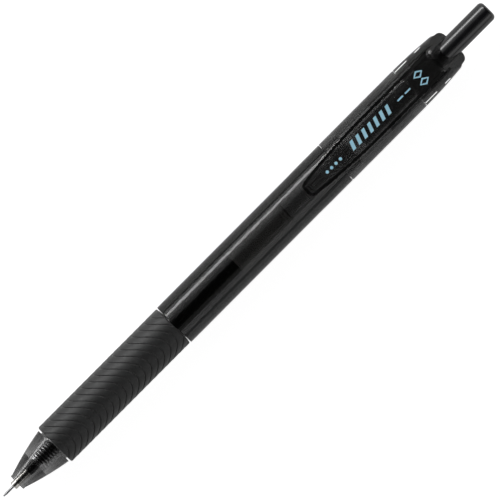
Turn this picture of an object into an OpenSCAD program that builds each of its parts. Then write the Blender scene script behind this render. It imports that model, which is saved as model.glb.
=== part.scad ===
// Retractable gel pen: a screw-together barrel, a rotating-cam push mechanism
// and a needle-tip refill, shown with its point out.
// The pen lies along X with its writing tip at -X, its button at +X and its clip on top.
// Every place along the pen is measured from the writing ball, before frame() sets it down.

/* [Overall] */
// Length from the writing ball to the end of the button, with the point out
overall_length = 145; // [144.5:0.1:146]
// Radius of the widest part, the tail sleeve that the pen lies on
tail_r = 5.2; // [5.18:0.01:5.25]
// Gap between two pieces that are pressed or bonded together
seat_gap = 0.02; // [0.01:0.01:0.03]

/* [Nose and grip] */
// Where the nose begins, behind the writing ball
nose_start = 4.07; // [3.9:0.01:4.2]
// Length of the short straight lip at the front of the nose
nose_lip_len = 0.53; // [0.4:0.01:0.7]
// Radius of that lip
nose_lip_r = 1.92; // [1.85:0.01:2]
// Where the nose ends and the grip's groove begins
nose_end = 15; // [14.7:0.1:15.1]
// Radius of the nose at its wide end
nose_base_r = 4.53; // [4.45:0.01:4.6]
// How far the nose bulges between its ends, as a share of its slope
nose_bulge = 0.33; // [0:0.01:0.4]
// Radius of the hole that guides the refill's metal tip
mouth_r = 1.05; // [1.03:0.01:1.1]
// Radius of the passage behind that hole
throat_r = 1.16; // [1.12:0.01:1.2]
// Radius at the bottom of the groove between the nose and the rubber sleeve
groove_r = 3.7; // [3.6:0.1:4.2]
// Radius of the core that carries the rubber sleeve
core_r = 4.36; // [4.3:0.01:4.4]
// Where the core ends
core_end = 50.9; // [50.8:0.05:50.95]
// Where the rubber sleeve begins
grip_start = 15.35; // [15.2:0.05:15.5]
// Where the rubber sleeve ends
grip_end = 50.8; // [50.5:0.1:50.8]
// Outer radius of the rubber sleeve
grip_r = 5.04; // [4.95:0.01:5.1]

/* [Screw thread] */
// Distance the front section moves in one turn
thread_pitch = 1.2; // [1:0.1:1.3]
// Turns of thread in mesh when the pen is closed
thread_turns = 4; // [3:1:4]
// Radius of the threaded hole in the front section
thread_bore_r = 3.8; // [3.78:0.01:3.82]
// Radius of the spigot between its threads
spigot_r = 3.5; // [3.48:0.01:3.52]
// Radius over the spigot's threads
thread_crest_r = 3.74; // [3.72:0.01:3.75]

/* [Rear barrel] */
// Where the spigot begins
spigot_start = 44; // [43.8:0.1:44.2]
// Where the barrel begins
barrel_start = 51; // [51:0.1:51.2]
// Where the barrel ends
barrel_end = 99.3; // [99:0.1:99.3]
// Radius of the barrel's long straight part
barrel_r = 5.13; // [5.1:0.01:5.15]
// Radius of the barrel where it meets the tail sleeve
barrel_rear_r = 5.17; // [5.16:0.01:5.18]
// Radius of the bore that the refill slides in
bore_r = 3.14; // [3.12:0.01:3.18]
// Where the spigot at the barrel's rear end stops, inside the tail sleeve
rear_spigot_end = 103.5; // [103:0.1:104]
// Radius of the spigots inside the tail sleeve
joint_r = 4.25; // [4.2:0.01:4.28]

/* [Tail and crown] */
// Where the tail sleeve begins
tail_start = 99.4; // [99.4:0.05:99.5]
// Where the tail sleeve ends
tail_end = 121.4; // [121.2:0.1:121.4]
// Where the crown's body begins
crown_start = 121.5; // [121.5:0.1:121.6]
// Where the crown ends
crown_end = 134.66; // [134.6:0.01:134.8]
// Radius of the crown just before its rounded end
crown_r = 4.62; // [4.6:0.01:4.7]
// Radius of the hole for the button
button_hole_r = 2.43; // [2.42:0.01:2.45]
// Radius that the hole flares to at the end of the crown
hole_flare_r = 2.75; // [2.7:0.01:2.8]
// Run of the slanted cut on the clip's side, for each mm of drop
slant_run = 0.83; // [0.8:0.01:0.9]
// Where the slanted cut crosses the pen's axis
slant_x = 133.5; // [133.4:0.1:133.6]

/* [Clip] */
// Where the clip's free end is
clip_tip = 90.5; // [90.3:0.1:91]
// Where the clip's fixed end is
clip_end = 129.3; // [129.2:0.05:129.3]
// Half width of the clip along its rear part
clip_half_w = 3; // [2.9:0.01:3.02]
// Half width of the clip just behind its rounded tip
clip_tip_half_w = 1.84; // [1.7:0.01:2]
// Thickness of the arm
clip_thick = 1.25; // [1.1:0.05:1.3]
// Height over the pen's axis that the arm's arch is drawn from
clip_top = 7.6; // [7.55:0.05:7.8]
// Gap between the clip and its pocket in the crown
clip_gap = 0.12; // [0.1:0.01:0.14]

/* [Button and cam] */
// Radius of the button
button_r = 2.345; // [2.33:0.005:2.36]
// Radius of the rounded edge at the button's end
button_round = 0.95; // [0.8:0.05:1]
// How far the point goes back when the pen is closed
retract_travel = 5; // [4.6:0.1:5]
// How far past its rest the button goes to free the cam
press_travel = 1.2; // [1:0.1:1.2]
// Ribs on the cam, and ribs in the sleeve that they stand on
cam_ribs = 4; // [4:1:4]
// Width of a rib
rib_w = 0.9; // [0.8:0.05:0.95]
// Radius that the ribs of the cam and the plunger reach
rib_r = 3.25; // [3.2:0.01:3.26]
// Inner radius of the ribs in the sleeve
sleeve_rib_r = 2.5; // [2.48:0.01:2.55]
// Height of the teeth between the plunger and the cam
tooth_h = 0.45; // [0.3:0.05:0.45]

/* [Refill] */
// Radius of the refill's tube
refill_r = 3.02; // [3:0.01:3.04]
// Wall of the refill's tube
refill_wall = 0.32; // [0.3:0.01:0.4]
// Where the tube begins
tube_start = 26.5; // [26.3:0.1:27]
// Where the tube ends
tube_end = 109; // [108.8:0.1:109]
// Where the ink ends and the follower begins
ink_end = 69.4; // [40:0.1:80]
// Length of the clear follower behind the ink
follower_len = 15.2; // [8:0.1:20]
// Radius of the needle
needle_r = 0.29; // [0.28:0.005:0.32]
// Radius of the metal holder behind the needle
holder_r = 0.93; // [0.9:0.01:0.94]
// Where the holder begins
holder_start = 2.95; // [2.8:0.05:3]
// Radius of the writing ball
ball_r = 0.15; // [0.14:0.01:0.15]

/* [Springs] */
// Radius of the return spring's coil, to the middle of its wire
spring_r = 2.22; // [2.2:0.01:2.24]
// Radius of its wire
spring_wire_r = 0.16; // [0.14:0.01:0.17]
// Turns in the return spring
spring_turns = 19; // [17:1:20]
// Pitch of the closed turns at its ends
spring_end_pitch = 0.36; // [0.35:0.01:0.4]

/* [Hidden] */
$fn = 96;

cut = 1;                                    // how far a cutting shape runs past what it cuts
edge = 0.15;                                // small chamfer on the ends of the outer shells

// the front section's inner passages
chamber_r = 2.6;                            // around the return spring
chamber_start = 9.7;
mouth_len = 1.23;
refill_space_r = 3.3;                       // around the refill's tube
refill_space_start = 23.75;
thread_bore_start = 43.6;
thread_start = 45;
thread_root = 0.3;                          // half width of a thread at its root
thread_tip = 0.1;                           // half width at its crest
thread_sink = 0.08;                         // how deep a thread's root sits in its wall
thread_gap = 0.08;                          // between one thread's crest and the other's root

// the tail's inner sleeve seats
sleeve_seat_r = 3.95;
sleeve_start = 112.6;
sleeve_end = 124.3;
sleeve_bore_r = 3.32;
crown_spigot_start = 118;
shoulder_x = 124.4;                         // where the plunger's ribs stop

// the cam: one click turns it half the space between two ribs
click_turn = 360 / cam_ribs / 2;
turn_per_mm = click_turn / retract_travel;
ramp_x = 116;                               // the sleeve ribs' foremost points
ramp_run = rib_w / (sleeve_rib_r * turn_per_mm * PI / 180);
ramp_gap = 0.45;                            // clear of the slants when the button is pressed in
cam_body_r = 2.3;
cam_front = 109.6;
cam_rear = ramp_x;
cam_rib_len = 3.4;
teeth = 2 * cam_ribs;
tooth_gap = 0.15;
plunger_face = cam_rear + tooth_h + tooth_gap + tooth_h;
plunger_rib_start = ramp_x + ramp_run + 0.1;  // behind the cam's ribs in every position
plunger_rib_end = shoulder_x - retract_travel - 0.1;
stem_r = 1.6;
stem_end = 138;
button_front = 119.6;

// the refill's inner shapes
tube_bore_r = refill_r - refill_wall;
nose_front = 7.6;
nose_neck_r = 1.05;
nose_body_start = 11.5;
nose_body_r = 1.7;
spring_seat_x = 21.75;
spring_seat_r = 2.45;
nose_shoulder_start = 25;
nose_shoulder_end = 25.6;
nose_plug_end = 32;
nose_bore_r = 1;
holder_stem_r = 0.75;
holder_end = 11.6;
needle_start = 0.1;
needle_end = 5.9;
needle_bore_r = 0.19;
socket_r = ball_r + 0.01;
socket_end = 0.33;
throat_end = 0.7;
fine_bore_r = 0.11;
plug_start = 106.5;
plug_end = 109.5;
vent_r = 0.4;

// the clip's inner shapes
pocket_front = 124.6;                       // the deep part of the crown's pocket
pocket_floor = 3.5;
channel_floor = 4.45;
clip_root_front = 122;
nub_front = 91.5;
nub_rear = 97;
nub_half_w = 0.55;
nub_bottom = 5.36;

// sets a shape that is measured from the writing ball down in the pen's own frame
module frame() {
    translate([-overall_length / 2, 0, tail_r])
        children();
}

// a round bar along the pen, or a cone if its second radius is given
module bar(x0, x1, r0, r1 = -1) {
    translate([x0, 0, 0])
        rotate([0, 90, 0])
            cylinder(h = x1 - x0, r1 = r0, r2 = r1 < 0 ? r0 : r1);
}

// a solid turned about the pen's axis from an outline of [radius, place] points
module turned(outline) {
    rotate([0, 90, 0])
        rotate_extrude()
            polygon(outline);
}

// copies of a shape set evenly around the pen's axis
module around(count, first = 0) {
    for (i = [0 : count - 1])
        rotate([first + i * 360 / count, 0, 0])
            children();
}

// a tube of points swept along a path, each ring turned to face along it
module swept(path, ring) {
    sides = len(ring[0]);
    last = len(path) - 1;
    points = [for (i = [0 : last]) each ring[i]];
    walls = [for (i = [0 : last - 1], j = [0 : sides - 1])
        let (k = (j + 1) % sides)
        each [
            [i * sides + j, (i + 1) * sides + k, (i + 1) * sides + j],
            [i * sides + j, i * sides + k, (i + 1) * sides + k],
        ]];
    front = [[for (j = [0 : sides - 1]) sides - 1 - j]];
    back = [[for (j = [0 : sides - 1]) last * sides + j]];
    polyhedron(points = points, faces = concat(walls, front, back), convexity = 10);
}

// one helical thread: its section is a trapezium from root_r to crest_r
module thread(start, root_r, crest_r, root_w, crest_w) {
    steps = 24 * thread_turns;
    section = [[-root_w, root_r], [-crest_w, crest_r], [crest_w, crest_r], [root_w, root_r]];
    turn = root_r < crest_r ? [0, 1, 2, 3] : [3, 2, 1, 0];
    rings = [for (i = [0 : steps])
        let (angle = i * 15, x = start + i * thread_pitch / 24)
        [for (k = turn)
            [x + section[k][0], section[k][1] * cos(angle), section[k][1] * sin(angle)]]];
    swept(rings, rings);
}

// a wire along a path of [place, radius, angle] points, with a round section
module wire(path, wire_r, sides) {
    last = len(path) - 1;
    at = [for (p = path) [p[0], p[1] * cos(p[2]), p[1] * sin(p[2])]];
    rings = [for (i = [0 : last])
        let (
            ahead = at[min(i + 1, last)] - at[max(i - 1, 0)],
            along = ahead / norm(ahead),
            out = [0, cos(path[i][2]), sin(path[i][2])],
            flat = out - (out * along) * along,
            side = flat / norm(flat),
            up = cross(along, side)
        )
        [for (j = [0 : sides - 1])
            at[i] + wire_r * (cos(j * 360 / sides) * side + sin(j * 360 / sides) * up)]];
    swept(at, rings);
}

// the nose's radius at a place between its lip and its wide end
function nose_radius(t) =
    nose_lip_r + (nose_base_r - nose_lip_r) * (t + nose_bulge * t * (1 - t));

// front section: the clear nose and the core under the grip, in one moulding
module front_barrel() {
    slope_start = nose_start + nose_lip_len;
    steps = 14;
    frame() color("DimGray", 0.6) {
        difference() {
            turned(concat(
                [[0, nose_start], [nose_lip_r - edge, nose_start]],
                [[nose_lip_r, nose_start + edge]],
                [for (i = [0 : steps])
                    [nose_radius(i / steps), slope_start + (nose_end - slope_start) * i / steps]],
                [[groove_r, nose_end], [groove_r, grip_start]],
                [[core_r, grip_start], [core_r, core_end], [0, core_end]]));
            bar(nose_start - cut, nose_start + mouth_len, mouth_r);
            bar(nose_start + mouth_len, chamber_start + cut, throat_r);
            bar(chamber_start, refill_space_start, chamber_r);
            bar(refill_space_start - 0.6, refill_space_start, chamber_r, refill_space_r);
            bar(refill_space_start, thread_bore_start + cut, refill_space_r);
            bar(thread_bore_start, core_end + cut, thread_bore_r);
        }
        thread(thread_start + thread_pitch / 2, thread_bore_r + thread_sink,
            spigot_r + thread_gap, thread_root, thread_tip);
    }
}

// soft sleeve on the core
module rubber_grip() {
    frame() color("DarkSlateGray") difference() {
        turned([[0, grip_start], [grip_r - edge, grip_start], [grip_r, grip_start + edge],
            [grip_r, grip_end - edge], [grip_r - edge, grip_end], [0, grip_end]]);
        bar(grip_start - cut, grip_end + cut, core_r + seat_gap);
    }
}

// rear section: a clear thick tube with a threaded spigot in front and a plain one behind
module rear_barrel() {
    taper_start = clip_tip - 1;
    taper_end = clip_tip + 2;
    frame() color("DimGray", 0.6) {
        difference() {
            turned([[0, spigot_start], [spigot_r, spigot_start], [spigot_r, barrel_start],
                [barrel_r - edge, barrel_start], [barrel_r, barrel_start + edge],
                [barrel_r, taper_start], [barrel_rear_r, taper_end],
                [barrel_rear_r, barrel_end - edge], [barrel_rear_r - edge, barrel_end],
                [joint_r, barrel_end], [joint_r, rear_spigot_end], [0, rear_spigot_end]]);
            bar(spigot_start - cut, rear_spigot_end + cut, bore_r);
        }
        thread(thread_start, spigot_r - thread_sink, thread_crest_r, thread_root, thread_tip);
    }
}

// sleeve between the barrel and the crown, which covers both joints
module tail_sleeve() {
    seat_r = joint_r + seat_gap;
    frame() color("DimGray", 0.7) difference() {
        turned([[0, tail_start], [tail_r - edge, tail_start], [tail_r, tail_start + edge],
            [tail_r, tail_end - edge], [tail_r - edge, tail_end], [0, tail_end]]);
        bar(tail_start - cut, rear_spigot_end + seat_gap, seat_r);
        bar(rear_spigot_end, crown_spigot_start, sleeve_seat_r);
        bar(crown_spigot_start - seat_gap, tail_end + cut, seat_r);
    }
}

// the crown's outline, from its front face to its rounded end
function crown_outline() = concat(
    [[0, crown_spigot_start], [joint_r, crown_spigot_start], [joint_r, crown_start]],
    [[tail_r - edge, crown_start], [tail_r, crown_start + edge], [tail_r - 0.03, crown_start + 1.5]],
    [[tail_r - 0.14, crown_start + 5], [tail_r - 0.33, crown_start + 7.7]],
    [[crown_r, crown_end - 2.46], [crown_r - 0.36, crown_end - 1.76]],
    [for (a = [10 : 10 : 90])
        [crown_r - 1.72 + 1.25 * cos(a), crown_end - 1.25 + 1.25 * sin(a)]],
    [[0, crown_end]]);

// end cap: it carries the clip, holds the cam sleeve and guides the button
module crown() {
    window_y = 4.5;
    window_t = 0.18;
    windows = [[crown_start + 0.1, 3.4], [crown_start + 5.9, 1.6]];
    frame() color("DimGray", 0.8) difference() {
        turned(crown_outline());
        bar(crown_spigot_start - cut, shoulder_x, sleeve_seat_r);
        bar(shoulder_x - cut, crown_end + cut, button_hole_r);
        bar(crown_end - 0.6, crown_end + 0.001, button_hole_r, hole_flare_r);
        // slanted cut beside the clip
        translate([slant_x, 0, 0])
            rotate([0, -atan(slant_run), 0])
                translate([0, -10, -10])
                    cube([10, 20, 20]);
        // pocket for the clip's root
        translate([pocket_front, -clip_half_w - clip_gap, pocket_floor])
            cube([clip_end + clip_gap - pocket_front, 2 * (clip_half_w + clip_gap), 5]);
        translate([crown_spigot_start - cut, -clip_half_w - clip_gap, channel_floor])
            cube([pocket_front + 2 * cut - crown_spigot_start, 2 * (clip_half_w + clip_gap), 5]);
        // slots through both side walls
        for (w = windows, side = [-1, 1])
            translate([w[0], side > 0 ? window_y : -window_y - window_t, -5])
                cube([w[1], window_t, 10]);
    }
}

// one of the sleeve's ribs, with a slanted front end for the cam's rib to ride down
module sleeve_rib() {
    translate([0, 0, sleeve_rib_r])
        linear_extrude(sleeve_bore_r + 0.2 - sleeve_rib_r)
            polygon([[ramp_x, rib_w / 2], [ramp_x + ramp_run, -rib_w / 2],
                [sleeve_end, -rib_w / 2], [sleeve_end, rib_w / 2]]);
}

// guide sleeve inside the tail: straight grooves between ribs with slanted ends
module cam_sleeve() {
    frame() color("SlateGray") {
        difference() {
            bar(sleeve_start, sleeve_end, sleeve_seat_r - seat_gap);
            bar(sleeve_start - cut, sleeve_end + cut, sleeve_bore_r);
        }
        around(cam_ribs)
            sleeve_rib();
    }
}

// one rib of the cam, with the matching slant on its rear end, which reaches back
// outside the plunger's body
module cam_rib() {
    intersection() {
        translate([0, 0, cam_body_r - 0.3])
            linear_extrude(rib_r)
                polygon([[cam_rear - cam_rib_len, rib_w / 2], [ramp_x - ramp_gap, rib_w / 2],
                    [ramp_x + ramp_run - ramp_gap, -rib_w / 2],
                    [cam_rear - cam_rib_len, -rib_w / 2]]);
        difference() {
            bar(cam_front, ramp_x + ramp_run, rib_r);
            bar(cam_rear, ramp_x + ramp_run + cut, cam_body_r + 0.08);
        }
    }
}

// a ring of saw teeth that stand on a face and point along +X
module tooth_ring() {
    inner_r = 1.1;
    tooth_w = 2 * PI * inner_r / teeth;
    intersection() {
        around(teeth)
            translate([0, 0, inner_r])
                linear_extrude(cam_body_r)
                    polygon([[-0.2, -tooth_w / 2], [-0.2, tooth_w / 2],
                        [0, tooth_w / 2], [tooth_h, -tooth_w / 2]]);
        bar(-cut, cut, cam_body_r);
    }
}

// rotating cam between the refill and the plunger
module cam_rotor() {
    frame() color("WhiteSmoke") {
        bar(cam_front, cam_rear, cam_body_r);
        around(cam_ribs)
            cam_rib();
        translate([cam_rear, 0, 0])
            tooth_ring();
    }
}

// plunger that turns the cam: its ribs run in the sleeve's grooves
module button_plunger() {
    frame() color("Gainsboro") {
        bar(plunger_face, plunger_rib_end, cam_body_r);
        bar(plunger_rib_end - cut, stem_end, stem_r);
        around(cam_ribs, click_turn)
            intersection() {
                translate([plunger_rib_start, -rib_w / 2, cam_body_r - 0.3])
                    cube([plunger_rib_end - plunger_rib_start, rib_w, 2]);
                bar(plunger_rib_start, plunger_rib_end, rib_r);
            }
        translate([plunger_face, 0, 0])
            mirror([1, 0, 0])
                tooth_ring();
    }
}

// gloss button, pressed over the plunger's stem
module push_button() {
    frame() color("Black") difference() {
        turned(concat(
            [[0, button_front], [button_r, button_front]],
            [for (a = [0 : 10 : 90])
                [button_r - button_round * (1 - cos(a)),
                    overall_length - button_round * (1 - sin(a))]],
            [[0, overall_length]]));
        bar(button_front - cut, stem_end + seat_gap, stem_r + seat_gap);
    }
}

// the clip seen from the side: the arm, its root in the crown and the nub that grips cloth
function clip_top_z(x) =
    let (t = (x - clip_tip) / (clip_end - clip_tip))
    clip_top - 0.65 * pow(1 - t, 2) - 2.6 * pow(t, 6);

module clip_side() {
    steps = 24;
    places = [for (i = [0 : steps]) clip_tip + (clip_end - clip_tip) * i / steps];
    under = [for (x = places) if (x < clip_root_front) [x, clip_top_z(x) - clip_thick]];
    root = [[clip_root_front, clip_top_z(clip_root_front) - clip_thick],
        [clip_root_front, channel_floor + clip_gap],
        [pocket_front + clip_gap, channel_floor + clip_gap],
        [pocket_front + clip_gap, pocket_floor + clip_gap], [clip_end, pocket_floor + clip_gap]];
    upper = [for (i = [0 : steps]) [places[steps - i], clip_top_z(places[steps - i])]];
    polygon(concat(under, root, upper));
}

// the clip seen from above: it narrows towards a rounded tip
module clip_plan() {
    reach = 19;
    corner = 0.7;
    polygon(concat(
        [for (a = [90 : -15 : 0])
            [clip_tip + corner * (1 - sin(a)), corner * (1 - cos(a)) - clip_tip_half_w]],
        [for (i = [0 : 10])
            let (t = i / 10)
            [clip_tip + corner + reach * t,
                -clip_tip_half_w - (clip_half_w - clip_tip_half_w) * (1 - pow(1 - t, 2))]],
        [[clip_end, -clip_half_w], [clip_end, clip_half_w]],
        [for (i = [0 : 10])
            let (t = 1 - i / 10)
            [clip_tip + corner + reach * t,
                clip_tip_half_w + (clip_half_w - clip_tip_half_w) * (1 - pow(1 - t, 2))]],
        [for (a = [0 : 15 : 90])
            [clip_tip + corner * (1 - sin(a)), clip_tip_half_w - corner * (1 - cos(a))]]));
}

module pocket_clip() {
    frame() color("Black", 0.9) {
        intersection() {
            rotate([90, 0, 0])
                translate([0, 0, -5])
                    linear_extrude(10)
                        clip_side();
            linear_extrude(12)
                clip_plan();
        }
        // nub under the tip
        rotate([90, 0, 0])
            translate([0, 0, -nub_half_w])
                linear_extrude(2 * nub_half_w)
                    polygon([[nub_front, clip_top - 1.5], [nub_front + 0.3, nub_bottom],
                        [nub_front + 1.6, nub_bottom], [nub_rear, clip_top - 1.5]]);
    }
}

// return spring: closed turns at each end and open turns between
module return_spring() {
    closed = 2.5;
    per_turn = 16;
    first = chamber_start + spring_wire_r;
    last = spring_seat_x - spring_wire_r;
    open_pitch = (last - first - 2 * closed * spring_end_pitch) / (spring_turns - 2 * closed);
    function place(t) = first + spring_end_pitch * min(t, closed)
        + open_pitch * max(0, min(t, spring_turns - closed) - closed)
        + spring_end_pitch * max(0, t - spring_turns + closed);
    frame() color("Silver")
        wire([for (i = [0 : spring_turns * per_turn])
            [place(i / per_turn), spring_r, i * 360 / per_turn]], spring_wire_r, 6);
}

// clear tube that holds the ink
module refill_tube() {
    frame() color("Gray", 0.4) difference() {
        bar(tube_start, tube_end, refill_r);
        bar(tube_start - cut, tube_end + cut, tube_bore_r);
    }
}

// plastic nose of the refill: it holds the metal tip and seats the spring
module refill_nose() {
    plug_r = tube_bore_r - seat_gap;
    frame() color("Black") difference() {
        turned([[0, nose_front], [nose_neck_r, nose_front], [nose_neck_r, nose_body_start - 0.4],
            [nose_body_r, nose_body_start], [nose_body_r, spring_seat_x],
            [spring_seat_r, spring_seat_x], [spring_seat_r, nose_shoulder_start],
            [refill_r, nose_shoulder_end], [refill_r, tube_start - seat_gap],
            [plug_r, tube_start - seat_gap], [plug_r, nose_plug_end], [0, nose_plug_end]]);
        bar(nose_front - cut, holder_end + seat_gap, holder_stem_r + seat_gap);
        bar(holder_end, nose_plug_end + cut, nose_bore_r);
    }
}

// turned metal holder between the nose and the needle
module needle_holder() {
    spring_space_r = 0.5;
    frame() color("Silver") difference() {
        turned([[0, holder_start], [holder_r - 0.2, holder_start], [holder_r, holder_start + 0.15],
            [holder_r, nose_front - seat_gap], [holder_stem_r, nose_front - seat_gap],
            [holder_stem_r, holder_end], [0, holder_end]]);
        bar(holder_start - cut, needle_end + seat_gap, needle_r + seat_gap / 2);
        bar(needle_end, holder_end + cut, spring_space_r);
    }
}

// steel needle, tapered to the ball's socket
module needle_tube() {
    frame() color("LightGray") difference() {
        turned([[0, needle_start], [ball_r + 0.03, needle_start], [needle_r, needle_start + 0.8],
            [needle_r, needle_end], [0, needle_end]]);
        bar(needle_start - cut, socket_end, socket_r);
        bar(socket_end - 0.1, throat_end + 0.1, fine_bore_r);
        bar(throat_end, needle_end + cut, needle_bore_r);
    }
}

module writing_ball() {
    frame() color("DarkGray")
        translate([ball_r, 0, 0])
            sphere(r = ball_r);
}

// fine spring that keeps the ball in its socket: a straight wire, then a small coil
module ball_spring() {
    coil_r = 0.36;
    coil_start = 6.3;
    coil_turns = 8;
    per_turn = 10;
    pitch = 0.45;
    frame() color("Silver")
        wire(concat(
            [[2 * ball_r + 0.04, 0, 0], [coil_start - 1.2, 0, 0]],
            [for (i = [0 : coil_turns * per_turn])
                [coil_start + pitch * i / per_turn, coil_r * min(1, (i + 1) / 4),
                    i * 360 / per_turn]]), 0.05, 5);
}

// gel ink in the tube and in the nose
module ink_column() {
    frame() color("Black") {
        bar(nose_plug_end + seat_gap, ink_end, tube_bore_r - seat_gap);
        bar(holder_end + 3 * seat_gap, nose_plug_end + 2 * seat_gap, nose_bore_r - seat_gap);
    }
}

// clear grease that follows the ink
module ink_follower() {
    frame() color("LightGray", 0.5)
        bar(ink_end + seat_gap, ink_end + follower_len, tube_bore_r - seat_gap);
}

// vented plug in the refill's rear end, which the cam pushes on
module refill_end_plug() {
    frame() color("DimGray") difference() {
        union() {
            bar(plug_start, tube_end + seat_gap, tube_bore_r - seat_gap);
            bar(tube_end + seat_gap, plug_end, refill_r);
        }
        bar(plug_start - cut, plug_end + cut, vent_r);
    }
}

front_barrel();
rubber_grip();
rear_barrel();
tail_sleeve();
crown();
cam_sleeve();
pocket_clip();
push_button();
button_plunger();
cam_rotor();
return_spring();
refill_tube();
refill_nose();
needle_holder();
needle_tube();
writing_ball();
ball_spring();
ink_column();
ink_follower();
refill_end_plug();
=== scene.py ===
# %% [markdown]
# A push-button gel pen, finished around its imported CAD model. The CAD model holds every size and
# every motion. This script only adds looks: it rebuilds the outer shells as fine meshes with
# softened edges, gives each piece a finish, and lights the pen.

# %% Load the frame
import math

import bmesh
import bpy
from mathutils import Matrix, Vector


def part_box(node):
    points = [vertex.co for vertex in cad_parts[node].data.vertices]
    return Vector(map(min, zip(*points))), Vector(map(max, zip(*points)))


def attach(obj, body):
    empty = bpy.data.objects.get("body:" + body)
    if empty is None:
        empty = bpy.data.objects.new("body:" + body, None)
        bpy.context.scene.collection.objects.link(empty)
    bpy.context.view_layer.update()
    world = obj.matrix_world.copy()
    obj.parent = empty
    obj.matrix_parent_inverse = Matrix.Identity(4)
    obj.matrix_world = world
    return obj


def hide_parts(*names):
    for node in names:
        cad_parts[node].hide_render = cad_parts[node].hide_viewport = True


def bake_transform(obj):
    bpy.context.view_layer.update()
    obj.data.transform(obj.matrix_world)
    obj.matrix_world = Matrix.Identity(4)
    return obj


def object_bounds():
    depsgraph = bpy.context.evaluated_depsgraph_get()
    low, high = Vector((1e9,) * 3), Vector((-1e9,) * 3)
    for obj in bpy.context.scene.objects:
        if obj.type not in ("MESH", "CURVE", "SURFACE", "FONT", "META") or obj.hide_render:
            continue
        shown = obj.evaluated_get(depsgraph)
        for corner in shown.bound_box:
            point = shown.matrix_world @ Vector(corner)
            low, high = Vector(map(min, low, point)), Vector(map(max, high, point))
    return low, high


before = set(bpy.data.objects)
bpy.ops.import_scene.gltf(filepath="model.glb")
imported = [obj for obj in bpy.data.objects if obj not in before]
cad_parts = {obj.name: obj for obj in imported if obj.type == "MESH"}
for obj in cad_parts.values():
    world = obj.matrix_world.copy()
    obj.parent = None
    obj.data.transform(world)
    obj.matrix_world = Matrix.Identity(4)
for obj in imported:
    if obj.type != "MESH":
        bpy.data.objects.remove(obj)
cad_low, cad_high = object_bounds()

print("CAD nodes:", len(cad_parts))

# %% [markdown]
# A pen is drawn from its writing point backwards, as on a workshop drawing. So every piece is
# modelled in millimetres, with x measured from the point and the pen's axis at y = z = 0, and
# one matrix then sets it down in the frame, in metres. Lengths and radii of whole parts are read
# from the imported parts' boxes, and only details inside them are named here.

# %% The drawing's origin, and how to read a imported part
MM = 0.001
sleeve_low, sleeve_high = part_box("tail_sleeve")
ORIGIN = Vector((cad_low.x, 0.0, (sleeve_low.z + sleeve_high.z) / 2))
TO_FRAME = Matrix.Translation(ORIGIN) @ Matrix.Scale(MM, 4)


def ends(node):
    """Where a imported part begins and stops, in mm behind the writing point."""
    low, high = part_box(node)
    return (low.x - ORIGIN.x) / MM, (high.x - ORIGIN.x) / MM


def radius_of(node):
    """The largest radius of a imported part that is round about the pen's axis, in mm."""
    low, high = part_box(node)
    return (high.y - low.y) / 2 / MM


pen_length = (cad_high.x - cad_low.x) / MM
print(f"the pen is {pen_length:.1f} mm long, and its axis is {ORIGIN.z / MM:.2f} mm up")

# %% [markdown]
# Small products are shown from straight above through a long lens, so that nothing looks
# bent. The camera looks down on the clip and is rolled so that the pen runs corner to corner,
# with its point at the lower left.

# %% Camera
PICTURE_WIDTH = 105.45 * MM      # what the picture spans at the pen
ROLL = math.radians(45.13)       # the pen's slope in the picture
LENS, SENSOR = 1000, 36          # mm
AIM_ALONG, AIM_ACROSS = 1.0 * MM, -0.2 * MM    # from the middle of the pen

camera = bpy.data.objects.new("camera", bpy.data.cameras.new("camera"))
camera.data.lens = LENS
camera.data.sensor_width = SENSOR
bpy.context.scene.collection.objects.link(camera)
bpy.context.scene.camera = camera
aim = Vector(((cad_low.x + cad_high.x) / 2 + AIM_ALONG, AIM_ACROSS, ORIGIN.z))
distance = PICTURE_WIDTH * LENS / SENSOR
camera.location = aim + Vector((0, 0, distance))
camera.rotation_euler = (0, 0, -ROLL)
print(f"the camera is {distance:.3f} m above the pen")

# %% [markdown]
# The floor is a white light table: a pale sheet that also glows a little, as under a product
# that is partly clear. The glow keeps the shadow faint and shines up through the smoky plastic.
# A Light Path node tells the camera's own rays from the rest, so the sheet can look white to the
# camera and yet light the pen with less than half of that.
# A glossy black pen shows only what it reflects, so light comes from the sides: a long soft box
# beside the clip draws the bright line along the barrel, a broad weak one fades its edge, and a
# low card on the other side fills the shade. Nothing shines from above, so the middle stays dark.

# %% Floor
FLOOR_HALF = 3.0                 # m, half of its width
FLOOR_DROP = 0.02 * MM           # below the pen
FLOOR_GREY = 0.35
GLOW_SEEN, GLOW_SHED = 0.95, 0.40

floor_mesh = bpy.data.meshes.new("floor")
sheet = bmesh.new()
bmesh.ops.create_grid(sheet, x_segments=1, y_segments=1, size=FLOOR_HALF)
sheet.to_mesh(floor_mesh)
sheet.free()
floor = bpy.data.objects.new("floor", floor_mesh)
floor.location = (0, 0, cad_low.z - FLOOR_DROP)
bpy.context.scene.collection.objects.link(floor)

floor_finish = bpy.data.materials.new("pale_floor")
floor_finish.use_nodes = True
floor_tree = floor_finish.node_tree
floor_shader = floor_tree.nodes["Principled BSDF"]
floor_shader.inputs["Base Color"].default_value = (FLOOR_GREY, FLOOR_GREY, FLOOR_GREY, 1)
floor_shader.inputs["Roughness"].default_value = 0.9
floor_shader.inputs["Specular IOR Level"].default_value = 0.1
floor_shader.inputs["Emission Color"].default_value = (1, 1, 1, 1)
ray = floor_tree.nodes.new("ShaderNodeLightPath")
glow = floor_tree.nodes.new("ShaderNodeMapRange")
glow.inputs["To Min"].default_value = GLOW_SHED
glow.inputs["To Max"].default_value = GLOW_SEEN
floor_tree.links.new(ray.outputs["Is Camera Ray"], glow.inputs["Value"])
floor_tree.links.new(glow.outputs["Result"], floor_shader.inputs["Emission Strength"])
floor_mesh.materials.append(floor_finish)
print(f"floor: glows {GLOW_SEEN} to the camera and {GLOW_SHED} onto the pen")

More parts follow.
